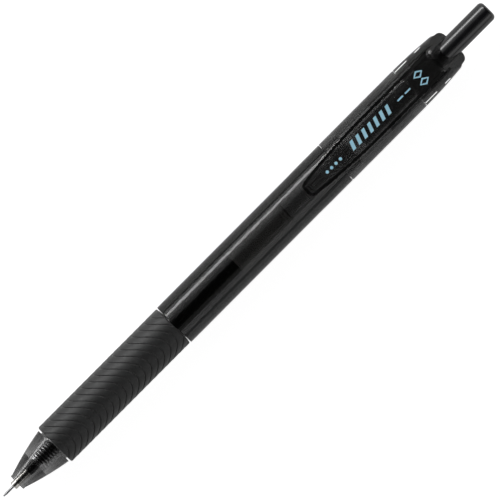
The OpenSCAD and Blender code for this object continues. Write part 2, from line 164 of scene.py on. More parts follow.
# %% Lights
def soft_box(name, slant, side, away, across, long, power):
    """A rectangular light facing the pen, slant degrees from straight up, on the +Y or -Y side."""
    lamp = bpy.data.lights.new(name, "AREA")
    lamp.shape = "RECTANGLE"
    lamp.size, lamp.size_y = long, across
    lamp.energy = power
    box = bpy.data.objects.new(name, lamp)
    turn = math.radians(slant)
    box.location = Vector((0, side * math.sin(turn), math.cos(turn))) * away
    box.rotation_euler = (-side * turn, 0, 0)
    box.visible_camera = False
    bpy.context.scene.collection.objects.link(box)
    print(f"{name}: {slant} degrees from straight up, {power} W")


soft_box("line_light", slant=60, side=1, away=0.45, across=0.10, long=0.9, power=1.5)
soft_box("broad_light", slant=62, side=1, away=0.50, across=0.32, long=1.0, power=1.2)
soft_box("inner_fade", slant=33, side=1, away=0.55, across=0.25, long=1.0, power=0.27)
soft_box("fill_card", slant=60, side=-1, away=0.50, across=0.25, long=1.0, power=0.55)
soft_box("fill_fade", slant=39, side=-1, away=0.55, across=0.24, long=1.0, power=0.11)

# %% [markdown]
# The room is dark overhead and a little lighter at the horizon, and only the camera's own rays
# see it pale. Light has to pass dozens of surfaces to cross the nested clear parts, so the number
# of bounces is raised here too, or their insides would go black.

# %% Room
HORIZON, OVERHEAD, SEEN_WALL = 0.25, 0.02, 0.85
BOUNCES = 36

room = bpy.data.worlds.new("room")
bpy.context.scene.world = room
room.use_nodes = True
room_nodes, room_links = room.node_tree.nodes, room.node_tree.links
direction = room_nodes.new("ShaderNodeTexCoord")
height = room_nodes.new("ShaderNodeSeparateXYZ")
wall = room_nodes.new("ShaderNodeMapRange")
wall.interpolation_type = "SMOOTHSTEP"
wall.inputs["From Min"].default_value = 0.10
wall.inputs["From Max"].default_value = 0.35
wall.inputs["To Min"].default_value = HORIZON
wall.inputs["To Max"].default_value = OVERHEAD
room_links.new(direction.outputs["Generated"], height.inputs["Vector"])
room_links.new(height.outputs["Z"], wall.inputs["Value"])
seen = room_nodes.new("ShaderNodeLightPath")
pale = room_nodes.new("ShaderNodeMix")
pale.inputs["B"].default_value = SEEN_WALL
room_links.new(seen.outputs["Is Camera Ray"], pale.inputs["Factor"])
room_links.new(wall.outputs["Result"], pale.inputs["A"])
room_links.new(pale.outputs["Result"], room_nodes["Background"].inputs["Strength"])
room_nodes["Background"].inputs["Color"].default_value = (1, 1, 1, 1)
bpy.context.scene.cycles.max_bounces = BOUNCES
bpy.context.scene.cycles.transmission_bounces = BOUNCES
bpy.context.scene.view_settings.view_transform = "Standard"
print("room: pale at the horizon, dark overhead")

# %% [markdown]
# Every finish starts from the Principled shader and gets small differences from noise, read
# from each piece's own coordinates: gloss that wanders a little, and a shallow ripple or grain.
# Two helpers do that for all of them. Scales are repeats per metre, so 1000 is one per mm.

# %% Helpers for finishes
def start_finish(name):
    """A new material, with its tree, its Principled shader and its Object coordinates."""
    finish = bpy.data.materials.new(name)
    finish.use_nodes = True
    tree = finish.node_tree
    where = tree.nodes.new("ShaderNodeTexCoord")
    return finish, tree, tree.nodes["Principled BSDF"], where.outputs["Object"]


def speckle(tree, place, scale, low, high, detail=3.0, stretch=(1, 1, 1)):
    """Noise between low and high, stretched along an axis where stretch is below 1."""
    shape = tree.nodes.new("ShaderNodeMapping")
    shape.inputs["Scale"].default_value = stretch
    noise = tree.nodes.new("ShaderNodeTexNoise")
    noise.inputs["Scale"].default_value = scale
    noise.inputs["Detail"].default_value = detail
    limits = tree.nodes.new("ShaderNodeMapRange")
    limits.inputs["From Min"].default_value = 0.3
    limits.inputs["From Max"].default_value = 0.7
    limits.inputs["To Min"].default_value = low
    limits.inputs["To Max"].default_value = high
    tree.links.new(place, shape.inputs["Vector"])
    tree.links.new(shape.outputs["Vector"], noise.inputs["Vector"])
    tree.links.new(noise.outputs["Fac"], limits.inputs["Value"])
    return limits.outputs["Result"]


def emboss(tree, shader, pattern, depth, strength=1.0):
    """Turns a pattern of 0 to 1 into relief of that depth in mm."""
    relief = tree.nodes.new("ShaderNodeBump")
    relief.inputs["Strength"].default_value = strength
    relief.inputs["Distance"].default_value = depth * MM
    tree.links.new(pattern, relief.inputs["Height"])
    tree.links.new(relief.outputs["Normal"], shader.inputs["Normal"])


def tint(tree, shader, pattern, dark, light):
    """Colours a surface between two colours by a pattern of 0 to 1."""
    blend = tree.nodes.new("ShaderNodeMix")
    blend.data_type = "RGBA"
    blend.inputs["A"].default_value = (*dark, 1)
    blend.inputs["B"].default_value = (*light, 1)
    tree.links.new(pattern, blend.inputs["Factor"])
    tree.links.new(blend.outputs["Result"], shader.inputs["Base Color"])


print("helpers for finishes are ready")

# %% [markdown]
# The barrel, nose, crown and clip are smoke-coloured clear plastic. Clear things get their colour
# from depth, so the surface is plain glass-like plastic and the smoke is Volume Absorption inside
# it: twice the thickness, twice the darkening. Moulded plastic is never quite flat, so a slow
# ripple of a few microns bends the reflections, and fine handling marks vary the gloss.
# The clip also gets a trace of haze, and its slanted edges are painted black with little gloss,
# which is painted shade for the dark outline that refraction draws at a clear chamfer. They are
# told apart by a face attribute called edge, which is written with the clip.

# %% Smoke-coloured clear plastic
def smoke_plastic(name, smoke, colour=(0.0, 0.0, 0.0), gloss=(0.0, 0.02), haze=0.0):
    """Clear plastic whose smoke takes away light at that rate for each mm of depth."""
    finish, tree, shader, place = start_finish(name)
    shader.inputs["Base Color"].default_value = (1, 1, 1, 1)
    shader.inputs["IOR"].default_value = 1.49
    shader.inputs["Transmission Weight"].default_value = 1.0 - haze
    marks = speckle(tree, place, 900, *gloss, stretch=(0.3, 1, 1))
    tree.links.new(marks, shader.inputs["Roughness"])
    emboss(tree, shader, speckle(tree, place, 160, 0, 1, detail=1, stretch=(0.4, 1, 1)), 0.012)
    depth = tree.nodes.new("ShaderNodeVolumeAbsorption")
    depth.inputs["Color"].default_value = (*colour, 1)
    depth.inputs["Density"].default_value = smoke / MM
    tree.links.new(depth.outputs["Volume"], tree.nodes["Material Output"].inputs["Volume"])
    print(f"{name}: {smoke} per mm")
    return finish


barrel_plastic = smoke_plastic("smoke_barrel", 0.85)
nose_plastic = smoke_plastic("smoke_nose", 0.48)
tail_plastic = smoke_plastic("smoke_tail", 1.0)
crown_plastic = smoke_plastic("smoke_crown", 1.0)
CLIP_HAZE = 0.009
clip_plastic = smoke_plastic("smoke_clip", 0.32, gloss=(0.0, 0.01), haze=CLIP_HAZE)
tree = clip_plastic.node_tree
shader = tree.nodes["Principled BSDF"]
# Faces marked edge get near black colour, no transmission and little gloss: painted shade for the
# dark outline that refraction gives at the clip's chamfers and lower edges.
edge = tree.nodes.new("ShaderNodeAttribute")
edge.attribute_name = "edge"
tint(tree, shader, edge.outputs["Fac"], (1, 1, 1), (0.0002, 0.0002, 0.0002))
for socket, flat, slanted in (("Transmission Weight", 1.0 - CLIP_HAZE, 0.0),
                              ("Specular IOR Level", 0.5, 0.1)):
    fade = tree.nodes.new("ShaderNodeMapRange")
    fade.inputs["To Min"].default_value = flat
    fade.inputs["To Max"].default_value = slanted
    tree.links.new(edge.outputs["Fac"], fade.inputs["Value"])
    tree.links.new(fade.outputs["Result"], shader.inputs[socket])
tube_plastic = smoke_plastic("clear_tube", 0.10, colour=(0.2, 0.2, 0.2), gloss=(0.02, 0.06))
follower_grease = smoke_plastic("clear_follower", 0.04, colour=(0.6, 0.5, 0.3), gloss=(0.0, 0.02))

# %% [markdown]
# The grip is soft rubber with a matt moulded skin. Its colour is a very dark grey that dust and
# handling lift in patches, its gloss is broad, and a grain finer than a tenth of a millimetre
# breaks up the light.

# %% Grip rubber
grip_rubber, tree, shader, place = start_finish("grip_rubber")
tint(tree, shader, speckle(tree, place, 350, 0, 1),
     (0.009, 0.0095, 0.0095), (0.014, 0.0145, 0.0145))
shader.inputs["IOR"].default_value = 1.5
shader.inputs["Sheen Weight"].default_value = 0.35
shader.inputs["Sheen Roughness"].default_value = 0.5
tree.links.new(speckle(tree, place, 1500, 0.42, 0.56), shader.inputs["Roughness"])
emboss(tree, shader, speckle(tree, place, 9000, 0, 1, detail=2), 0.010, 0.6)
print("grip rubber: matt, very dark grey")

# %% [markdown]
# The button is gloss black, and the push mechanism behind it is satin black. Both are opaque
# moulded plastic: the colour barely changes, and the gloss carries fine marks along the pen,
# the way that the button slides.

# %% Opaque plastics
def moulded_plastic(name, dark, light, gloss, ripple=0.006):
    """Opaque plastic between two near colours, with marks along the pen in its gloss."""
    finish, tree, shader, place = start_finish(name)
    tint(tree, shader, speckle(tree, place, 500, 0, 1), dark, light)
    marks = speckle(tree, place, 2500, *gloss, stretch=(0.08, 1, 1))
    tree.links.new(marks, shader.inputs["Roughness"])
    emboss(tree, shader, speckle(tree, place, 240, 0, 1, detail=1), ripple)
    print(f"{name}: gloss from {gloss[0]} to {gloss[1]}")
    return finish


button_black = moulded_plastic("button_black", (0.004, 0.004, 0.005),
                               (0.007, 0.007, 0.008), (0.16, 0.24))
button_shader = button_black.node_tree.nodes["Principled BSDF"]
button_shader.inputs["Specular IOR Level"].default_value = 0.9
mechanism_black = moulded_plastic("mechanism_black", (0.010, 0.010, 0.011),
                                  (0.016, 0.016, 0.017), (0.3, 0.42))
cam_grey = moulded_plastic("cam_grey", (0.10, 0.10, 0.105), (0.13, 0.13, 0.135), (0.32, 0.45))
refill_black = moulded_plastic("refill_black", (0.008, 0.008, 0.009),
                               (0.013, 0.013, 0.014), (0.5, 0.6))
plug_grey = moulded_plastic("plug_grey", (0.05, 0.05, 0.05), (0.07, 0.07, 0.07), (0.3, 0.45))
ink_black = moulded_plastic("gel_ink", (0.0015, 0.0015, 0.002), (0.003, 0.003, 0.004), (0.05, 0.12))
print_blue = moulded_plastic("print_blue", (0.42, 0.76, 0.94),
                             (0.48, 0.82, 0.98), (0.35, 0.5), 0.002)

# %% [markdown]
# The metal parts are turned or drawn. A lathe leaves rings round the axis, so the holder's gloss
# varies in thin rings, and drawn wire has streaks along it. Both come from noise that is squeezed
# along one axis.

# %% Metals
def bare_metal(name, colour, gloss, stretch):
    """Bare metal with tool marks in its gloss and relief."""
    finish, tree, shader, place = start_finish(name)
    tint(tree, shader, speckle(tree, place, 700, 0, 1), tuple(0.9 * c for c in colour), colour)
    shader.inputs["Metallic"].default_value = 1.0
    marks = speckle(tree, place, 4000, *gloss, stretch=stretch)
    tree.links.new(marks, shader.inputs["Roughness"])
    emboss(tree, shader, speckle(tree, place, 6000, 0, 1, stretch=stretch), 0.002)
    print(f"{name}: tool marks stretched {stretch}")
    return finish


holder_metal = bare_metal("turned_steel", (0.74, 0.72, 0.68), (0.10, 0.22), (1, 0.05, 0.05))
needle_metal = bare_metal("needle_steel", (0.42, 0.42, 0.43), (0.16, 0.30), (0.1, 1, 1))
spring_metal = bare_metal("spring_steel", (0.66, 0.66, 0.67), (0.14, 0.28), (0.4, 0.4, 0.4))
ball_metal = bare_metal("ball_carbide", (0.30, 0.30, 0.31), (0.10, 0.18), (1, 1, 1))

# %% [markdown]
# Nearly every part of a pen is turned or moulded round, so one helper does most of the work: it
# draws half of the part's section as a chain of vertices, rounds the corners that are named, and
# spins the chain about the pen's axis. A third number on a point is the rounding of that corner.

# %% Helpers for meshes
def lathe(bm, outline, steps=96):
    """Spins an outline of (place, radius) or (place, radius, rounding) points, in mm."""
    chain = [bm.verts.new((point[0], 0, point[1])) for point in outline]
    closed = outline[0][1] > 0
    for a, b in zip(chain, chain[1:] + (chain[:1] if closed else [])):
        bm.edges.new((a, b))
    for vert, point in zip(chain, outline):
        if len(point) == 3:
            bmesh.ops.bevel(bm, geom=[vert], offset=point[2], offset_type="OFFSET", segments=3,
                            profile=0.5, affect="VERTICES", material=-1)
    loose = [v for v in bm.verts if not v.link_faces]
    wires = [e for e in bm.edges if not e.link_faces]
    bmesh.ops.spin(bm, geom=loose + wires, cent=(0, 0, 0), axis=(1, 0, 0), angle=math.tau,
                   steps=steps, use_merge=True)
    bmesh.ops.remove_doubles(bm, verts=bm.verts, dist=0.0005)
    bmesh.ops.recalc_face_normals(bm, faces=bm.faces)


def set_down(name, bm, finish, sharp=32):
    """Makes the mesh an object at the origin, in metres, smooth except at edges over sharp."""
    bm.transform(TO_FRAME)
    mesh = bpy.data.meshes.new(name)
    bm.to_mesh(mesh)
    bm.free()
    mesh.shade_smooth()
    mesh.set_sharp_from_angle(angle=math.radians(sharp))
    mesh.materials.append(finish)
    piece = bpy.data.objects.new(name, mesh)
    bpy.context.scene.collection.objects.link(piece)
    return piece


def fit(piece, body, slot, *nodes):
    """Rides the piece on its body and hides the CAD nodes that it stands for. The slot is not used.
    """
    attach(piece, body)
    if nodes:
        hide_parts(*nodes)
    check = bmesh.new()
    check.from_mesh(piece.data)
    open_edges = sum(not e.is_manifold for e in check.edges)
    check.free()
    print(f"{piece.name}: {len(piece.data.polygons)} faces, {open_edges} open edges")


def turned_piece(name, outline, finish, body, slot, *nodes, steps=96):
    """A piece that is only a lathe shape, from outline to place."""
    bm = bmesh.new()
    lathe(bm, outline, steps)
    piece = set_down(name, bm, finish)
    fit(piece, body, slot, *nodes)
    return piece


print("helpers for meshes are ready")

# %% [markdown]
# The front section is one clear moulding. Its nose tapers in a slight curve to a short lip, and
# its core runs on under the rubber. Inside are a guide for the metal tip, a wider room for the
# spring, then the refill's space and the threaded socket. In clear plastic the inner steps show
# as much as the outside, so every one of them is in the outline.

# %% Front section
nose_x, core_end = ends("front_barrel")
nose_end, nose_base = 15.0, radius_of("front_barrel")
lip_len, lip_r, bulge = 0.53, 1.92, 0.33
core_r = 4.36
groove_r, groove_end = 3.7, 15.35
mouth_r, guide_r, guide_x = 1.05, 1.16, 5.4            # the hole that the needle comes out of
spring_room_r, spring_room_x = 2.6, 9.7
refill_room_r, refill_room_x = 3.3, 23.75
socket_r, socket_x = 3.8, 43.6                         # the threaded end
NOSE_STEPS = 24


def nose_radius(share):
    """The nose's radius between its lip and its wide end."""
    return lip_r + (nose_base - lip_r) * (share + bulge * share * (1 - share))


taper = nose_end - nose_x - lip_len
nose_curve = [(nose_x + lip_len + taper * i / NOSE_STEPS, nose_radius(i / NOSE_STEPS))
              for i in range(NOSE_STEPS)]
front_outline = [
    (nose_x, mouth_r, 0.08), (nose_x, lip_r, 0.14), *nose_curve, (nose_end, nose_base, 0.08),
    (nose_end, groove_r), (groove_end, groove_r), (groove_end, core_r), (core_end, core_r, 0.1),
    (core_end, socket_r, 0.08), (socket_x, socket_r), (socket_x, refill_room_r),
    (refill_room_x, refill_room_r), (refill_room_x - 0.6, spring_room_r),
    (spring_room_x, spring_room_r, 0.1), (spring_room_x, guide_r, 0.08),
    (guide_x, guide_r), (guide_x - 0.1, mouth_r)]
turned_piece("front_shell", front_outline, nose_plastic, "front", "clear_smoke", "front_barrel",
             steps=128)

# %% [markdown]
# The grip's skin has narrow grooves that sweep round the pen in waves, one set of crests facing
# the writer. A groove is a ring if the sleeve is first made straight, so the section with all its
# grooves is spun, each vertex is then slid along the pen by a wave of its angle, and the ends are
# cut flat with a bisecting plane. The rims are then drawn in to the bore and bridged.

# %% Rubber grip
grip_x, grip_end = ends("rubber_grip")
grip_r = radius_of("rubber_grip")
grip_bore = core_r + 0.02
groove_pitch, first_groove = 1.90, 20.73
wave_height, wave_turn = 2.17, math.radians(19)
groove_section = [(-0.20, 0.0), (-0.13, -0.06), (-0.05, -0.17), (0.05, -0.17), (0.13, -0.06),
                  (0.20, 0.0), (0.55, 0.025), (1.05, 0.02)]
rim_round = 0.26

grip = bmesh.new()
grooves = range(-4, 19)
section = [(first_groove + n * groove_pitch + dx, grip_r - 0.03 + dr)
           for n in grooves for dx, dr in groove_section]
chain = [grip.verts.new((x, 0, r)) for x, r in section]
for a, b in zip(chain, chain[1:]):
    grip.edges.new((a, b))
bmesh.ops.spin(grip, geom=grip.verts[:] + grip.edges[:], cent=(0, 0, 0), axis=(1, 0, 0),
               angle=math.tau, steps=160, use_merge=True)
bmesh.ops.remove_doubles(grip, verts=grip.verts, dist=0.0005)
for vert in grip.verts:
    around = math.atan2(-vert.co.y, vert.co.z)
    vert.co.x -= wave_height * (1 - math.cos(2 * (around - wave_turn)))


def trim(bm, place, side):
    """Cuts the sleeve flat at a place and returns the new rim's edges."""
    cut = bmesh.ops.bisect_plane(bm, geom=bm.verts[:] + bm.edges[:] + bm.faces[:], dist=0.0005,
                                 plane_co=(place, 0, 0), plane_no=(side, 0, 0), clear_outer=True)
    return [g for g in cut["geom_cut"] if isinstance(g, bmesh.types.BMEdge)]


def carry_rim(bm, rim, shift, radius):
    """Extrudes a rim along the pen by shift, onto a circle of that radius, and returns it."""
    made = bmesh.ops.extrude_edge_only(bm, edges=rim)["geom"]
    for vert in (g for g in made if isinstance(g, bmesh.types.BMVert)):
        scale = radius / math.hypot(vert.co.y, vert.co.z)
        vert.co = (vert.co.x + shift, vert.co.y * scale, vert.co.z * scale)
    return [g for g in made if isinstance(g, bmesh.types.BMEdge)]


rims = []
for place, side in ((grip_x + rim_round, -1), (grip_end - rim_round, 1)):
    rim = trim(grip, place, side)
    rim = carry_rim(grip, rim, side * 0.6 * rim_round, grip_r - 0.3 * rim_round - 0.03)
    rim = carry_rim(grip, rim, side * 0.4 * rim_round, grip_r - rim_round - 0.03)
    rims += carry_rim(grip, rim, 0, grip_bore)
bmesh.ops.bridge_loops(grip, edges=rims)
bmesh.ops.recalc_face_normals(grip, faces=grip.faces)
grip_sleeve = set_down("grip_sleeve", grip, grip_rubber, sharp=40)
fit(grip_sleeve, "front", "grip_rubber", "rubber_grip")

# %% [markdown]
# The rear barrel is a thick clear tube. Where a bore runs through clear plastic, its wall acts as
# a lens and shows as a line near the edge, so the wall needs its true thickness. In front is the
# threaded spigot that the front section screws onto, and at the rear a plain one.
# A thread is a small section that is spun and moved along at once, which spin does with dvec.

# %% Rear barrel
spigot_x, rear_spigot_end = ends("rear_barrel")
barrel_r, barrel_rear_r = 5.13, radius_of("rear_barrel")
barrel_x, barrel_end = 51.0, 99.3
spigot_r, joint_r, bore_r = 3.5, 4.25, 3.14
thread_x, thread_pitch, thread_turns = 45.0, 1.2, 4
rear_outline = [
    (spigot_x, bore_r, 0.08), (spigot_x, spigot_r, 0.1), (barrel_x, spigot_r),
    (barrel_x, barrel_r, 0.16), (89.5, barrel_r), (92.5, barrel_rear_r),
    (barrel_end, barrel_rear_r, 0.12), (barrel_end, joint_r), (rear_spigot_end, joint_r, 0.1),
    (rear_spigot_end, bore_r, 0.08)]
barrel = bmesh.new()
lathe(barrel, rear_outline, steps=128)

thread_section = [(-0.3, spigot_r - 0.08), (-0.1, 3.74), (0.1, 3.74), (0.3, spigot_r - 0.08)]
THREAD_STEPS = 36
turn_verts = [barrel.verts.new((thread_x + dx, 0, r)) for dx, r in thread_section]
turn_edges = [barrel.edges.new((a, b)) for a, b in zip(turn_verts, turn_verts[1:] + turn_verts[:1])]
bmesh.ops.spin(barrel, geom=turn_verts + turn_edges, cent=(0, 0, 0), axis=(1, 0, 0),
               dvec=(thread_pitch / THREAD_STEPS, 0, 0), angle=math.tau * thread_turns,
               steps=THREAD_STEPS * thread_turns)
thread_ends = [e for e in barrel.edges if e.is_boundary]
bmesh.ops.holes_fill(barrel, edges=thread_ends, sides=0)
bmesh.ops.recalc_face_normals(barrel, faces=barrel.faces)
rear_shell = set_down("rear_shell", barrel, barrel_plastic)
fit(rear_shell, "barrel", "clear_smoke", "rear_barrel")

# %% [markdown]
# The tail sleeve covers the joints of the barrel and the crown. It is the pen's widest part.

# %% Tail sleeve
tail_x, tail_end = ends("tail_sleeve")
tail_r = radius_of("tail_sleeve")
crown_spigot_x, crown_end = ends("crown")
sleeve_seat_r = 3.95
tail_outline = [
    (tail_x, joint_r + 0.02), (tail_x, tail_r, 0.12), (tail_end, tail_r, 0.12),
    (tail_end, joint_r + 0.02), (crown_spigot_x, joint_r + 0.02), (crown_spigot_x, sleeve_seat_r),
    (rear_spigot_end + 0.02, sleeve_seat_r), (rear_spigot_end + 0.02, joint_r + 0.02)]
turned_piece("tail_shell", tail_outline, tail_plastic, "barrel", "tail_smoke", "tail_sleeve",
             steps=128)

# %% [markdown]
# The crown closes the rear end. It starts as a lathe shape, and the cuts of its mould are made
# with Boolean modifiers: a pocket for the clip's root, a slanted cut beside the clip, and the
# slots in its side walls. Booleans leave hard edges, so the cutters of the pocket and the channel
# have rounded edges.

# %% Crown
def block(low, high, soften=0.0):
    """A box between two corners, in mm, for cutting with."""
    bm = bmesh.new()
    bmesh.ops.create_cube(bm, size=1.0)
    size = Vector(high) - Vector(low)
    bmesh.ops.scale(bm, verts=bm.verts, vec=size)
    bmesh.ops.translate(bm, verts=bm.verts, vec=(Vector(high) + Vector(low)) / 2)
    if soften:
        bmesh.ops.bevel(bm, geom=bm.edges[:], offset=soften, offset_type="OFFSET", segments=3,
                        profile=0.5, affect="EDGES", material=-1)
    return bm


def combine(piece, tool_mesh, operation):
    """Cuts a mesh in mm out of the piece, or joins it on, and keeps the result."""
    tool_mesh.transform(TO_FRAME)
    mesh = bpy.data.meshes.new("tool")
    tool_mesh.to_mesh(mesh)
    tool_mesh.free()
    tool = bpy.data.objects.new("tool", mesh)
    bpy.context.scene.collection.objects.link(tool)
    step = piece.modifiers.new("combine", "BOOLEAN")
    step.operation = operation
    step.solver = "EXACT"
    step.object = tool
    bpy.context.view_layer.update()
    done = piece.evaluated_get(bpy.context.evaluated_depsgraph_get())
    result = bpy.data.meshes.new_from_object(done)
    piece.modifiers.clear()
    piece.data = result
    bpy.data.objects.remove(tool)
    return piece


shoulder_x, button_hole_r, hole_flare_r = 124.4, 2.43, 2.75
crown_x, crown_r, crown_round = 121.5, 4.62, 1.25
crown_outline = [
    (crown_spigot_x, sleeve_seat_r), (crown_spigot_x, joint_r, 0.08), (crown_x, joint_r),
    (crown_x, tail_r, 0.1), (crown_x + 1.5, tail_r - 0.03), (crown_x + 5, tail_r - 0.14),
    (crown_x + 7.7, tail_r - 0.33), (crown_end - 2.46, crown_r), (crown_end - 1.76, crown_r - 0.36),
    *[(crown_end - crown_round + crown_round * math.sin(math.radians(a)),
       crown_r - 1.72 + crown_round * math.cos(math.radians(a))) for a in range(10, 100, 10)],
    (crown_end, hole_flare_r, 0.08), (crown_end - 0.6, button_hole_r), (shoulder_x, button_hole_r),
    (shoulder_x, sleeve_seat_r)]
crown = bmesh.new()
lathe(crown, crown_outline, steps=128)
crown_shell = set_down("crown_shell", crown, crown_plastic)

clip_low, clip_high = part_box("pocket_clip")
clip_x, clip_end = ends("pocket_clip")
clip_half = radius_of("pocket_clip")
clip_gap = 0.12
slot_inner, slot_outer = 4.50, 4.66
slant_x, slant_run = 133.5, 0.83
channel_floor, pocket_floor, pocket_x = 4.45, 3.5, 124.6
wedge = block((0, -8, -12), (10, 8, 12))
bmesh.ops.rotate(wedge, verts=wedge.verts, cent=(0, 0, 0),
                 matrix=Matrix.Rotation(-math.atan(slant_run), 3, "Y"))
bmesh.ops.translate(wedge, verts=wedge.verts, vec=(slant_x, 0, 0))
combine(crown_shell, wedge, "DIFFERENCE")
wide = clip_half + clip_gap
combine(crown_shell, block((pocket_x, -wide, pocket_floor), (clip_end + clip_gap, wide, 9), 0.15),
        "DIFFERENCE")
channel = block((crown_spigot_x - 1, -wide, channel_floor), (pocket_x + 0.5, wide, 9), 0.15)
combine(crown_shell, channel, "DIFFERENCE")
for slot_x, slot_len in ((crown_x + 0.1, 3.4), (crown_x + 5.9, 1.6)):
    for side in (-1, 1):
        low_y, high_y = sorted((side * slot_inner, side * slot_outer))
        slot = block((slot_x, low_y, -5), (slot_x + slot_len, high_y, 5))
        combine(crown_shell, slot, "DIFFERENCE")
crown_shell.data.shade_smooth()
crown_shell.data.set_sharp_from_angle(angle=math.radians(32))
fit(crown_shell, "barrel", "crown_smoke", "crown")

# %% [markdown]
# The clip is a flat springy arm that narrows to a rounded tip and arches over the barrel. Its
# outline is drawn as one flat face, which is extruded, gets its wide chamfer along the upper rim,
# is sliced across so that it can bend, and is then bent by lifting each vertex onto the arch.

# %% Clip
clip_top, clip_thick = 7.58, 1.25
tip_half, clip_reach, corner = 1.84, 19.0, 0.95
root_x = 122.0
upper_chamfer, lower_chamfer = 0.62, 0.16


def arch(x):
    """The height of the clip's upper face over the pen's axis, in mm."""
    t = (x - clip_x) / (clip_end - clip_x)
    return clip_top - 0.65 * (1 - t) ** 2 - 2.6 * t ** 6


def clip_edge(side):
    """One long edge of the clip's outline, from the tip back."""
    points = [(clip_x, side * (tip_half - corner)),
              (clip_x + corner * 0.3, side * (tip_half - corner * 0.3)),
              (clip_x + corner, side * tip_half)]
    for i in range(1, 13):
        t = i / 12
        points.append((clip_x + corner + clip_reach * t,
                       side * (tip_half + (clip_half - tip_half) * (1 - (1 - t) ** 2))))
    return points + [(clip_end, side * clip_half)]


arm = bmesh.new()
outline = [arm.verts.new((x, y, 0)) for x, y in clip_edge(-1) + clip_edge(1)[::-1]]
face = arm.faces.new(outline)
upper = bmesh.ops.extrude_face_region(arm, geom=[face])["geom"]
bmesh.ops.translate(arm, verts=[g for g in upper if isinstance(g, bmesh.types.BMVert)],
                    vec=(0, 0, clip_thick))
bmesh.ops.recalc_face_normals(arm, faces=arm.faces)
rim = [e for e in arm.edges if all(v.co.z > clip_thick / 2 for v in e.verts)]
bmesh.ops.bevel(arm, geom=rim, offset=upper_chamfer, offset_type="OFFSET", segments=1, profile=0.5,
                affect="EDGES", material=-1)
rim = [e for e in arm.edges if all(v.co.z < 0.01 for v in e.verts)]
bmesh.ops.bevel(arm, geom=rim, offset=lower_chamfer, offset_type="OFFSET", segments=1, profile=0.5,
                affect="EDGES", material=-1)
SLICES = 34
for i in range(1, SLICES):
    bmesh.ops.bisect_plane(arm, geom=arm.verts[:] + arm.edges[:] + arm.faces[:], dist=0.0005,
                           plane_co=(clip_x + (clip_end - clip_x) * i / SLICES, 0, 0),
                           plane_no=(1, 0, 0))
for place in (root_x, root_x + 0.02, pocket_x + clip_gap, pocket_x + clip_gap + 0.02):
    bmesh.ops.bisect_plane(arm, geom=arm.verts[:] + arm.edges[:] + arm.faces[:], dist=0.0005,
                           plane_co=(place, 0, 0), plane_no=(1, 0, 0))
for vert in arm.verts:
    top = arch(vert.co.x)
    if vert.co.z < 0.01 and vert.co.x > pocket_x + clip_gap + 0.01:
        vert.co.z = pocket_floor + clip_gap
    elif vert.co.z < 0.01 and vert.co.x > root_x + 0.01:
        vert.co.z = channel_floor + clip_gap
    else:
        vert.co.z += top - clip_thick
clip_arm = set_down("clip_arm", arm, clip_plastic, sharp=24)
nub_x, nub_flat, nub_end, nub_half, nub_low, nub_high = 91.5, 93.1, 97.0, 0.55, 5.36, 6.2
nub = block((nub_x, -nub_half, nub_low), (nub_end, nub_half, nub_high))
lower = [e for e in nub.edges if all(v.co.z < nub_low + 0.01 for v in e.verts)]
bmesh.ops.bevel(nub, geom=lower, offset=0.3, offset_type="OFFSET", segments=4, profile=0.5,
                affect="EDGES", material=-1)
bmesh.ops.bisect_plane(nub, geom=nub.verts[:] + nub.edges[:] + nub.faces[:], dist=0.0005,
                       plane_co=(nub_flat, 0, 0), plane_no=(1, 0, 0))
for vert in nub.verts:
    rise = max(0, vert.co.x - nub_flat) / (nub_end - nub_flat)
    vert.co.z += 0.75 * rise * (nub_high - vert.co.z) / (nub_high - nub_low)
combine(clip_arm, nub, "UNION")
clip_arm.data.shade_smooth()
clip_arm.data.set_sharp_from_angle(angle=math.radians(24))
# The marked faces, the upper chamfers and the lower slanted faces, are painted black by the finish
# as painted shade for the clip's outline.
painted_shade_mark = clip_arm.data.attributes.new("edge", "FLOAT", "FACE")
for polygon in clip_arm.data.polygons:
    up, x = polygon.normal.z, (polygon.center.x - ORIGIN.x) / MM
    slanted = (0.3 < up < 0.9 and x < clip_end - 0.7) or (-0.95 < up < -0.05 and x < nub_end + 0.1)
    painted_shade_mark.data[polygon.index].value = 1.0 if slanted else 0.0
fit(clip_arm, "clip", "clip_plastic", "pocket_clip")

# %% [markdown]
# The clip carries a print in light blue. Any lettering is left out: its place is taken by plain
# shapes, which are a row of dots, a row of slanted bars, two short lines and a pair of lozenges.
# Print is a film of ink with a thickness, so each shape is a flat face that is extruded a little
# and laid on the arch.

# %% Print on the clip
film = 0.02


def bar_shape(bm, x, y, long, wide, slant=0.0):
    """A flat bar, with its ends slid sideways by slant."""
    made = bmesh.ops.create_grid(bm, x_segments=4, y_segments=1, size=0.5)["verts"]
    for vert in made:
        vert.co = (x + vert.co.x * long + slant * vert.co.y, y + vert.co.y * wide, 0)


def ring_shape(bm, x, y, outer_x, outer_y, stroke, corners=40):
    """A flat ring, or a disc if its stroke is as wide as it is."""
    rims = []
    for inset in (0, stroke):
        loop = bmesh.ops.create_circle(bm, segments=corners, radius=1.0)["verts"]
        for vert in loop:
            vert.co = (x + vert.co.x * (outer_x - inset), y + vert.co.y * (outer_y - inset), 0)
        rims += list({e for v in loop for e in v.link_edges})
    bmesh.ops.bridge_loops(bm, edges=rims)


